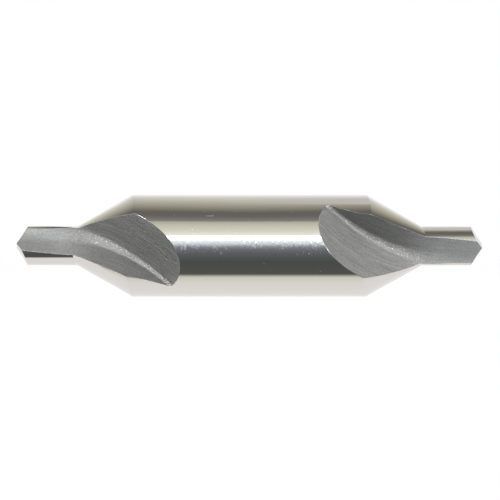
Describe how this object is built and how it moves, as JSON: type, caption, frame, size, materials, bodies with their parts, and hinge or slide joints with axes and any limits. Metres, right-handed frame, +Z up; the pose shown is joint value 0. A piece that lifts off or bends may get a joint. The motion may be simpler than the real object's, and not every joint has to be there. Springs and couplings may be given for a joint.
{
  "type": "centre drill",
  "caption": "Double-ended centre drill: a round steel body with a fluted sixty-degree countersink and a short pilot drill at each end.",
  "frame": {"origin": "middle of the tool, on its axis", "axes": "+X along the tool's axis from one point to the other, +Z up; one flute of each end faces -Y"},
  "size_m": [0.0732, 0.016, 0.016],
  "materials": {
    "high_speed_steel": "bright ground lands, satin flutes"
  },
  "bodies": {
    "root": {"centre_drill": "high_speed_steel"}
  },
  "joints": []
}
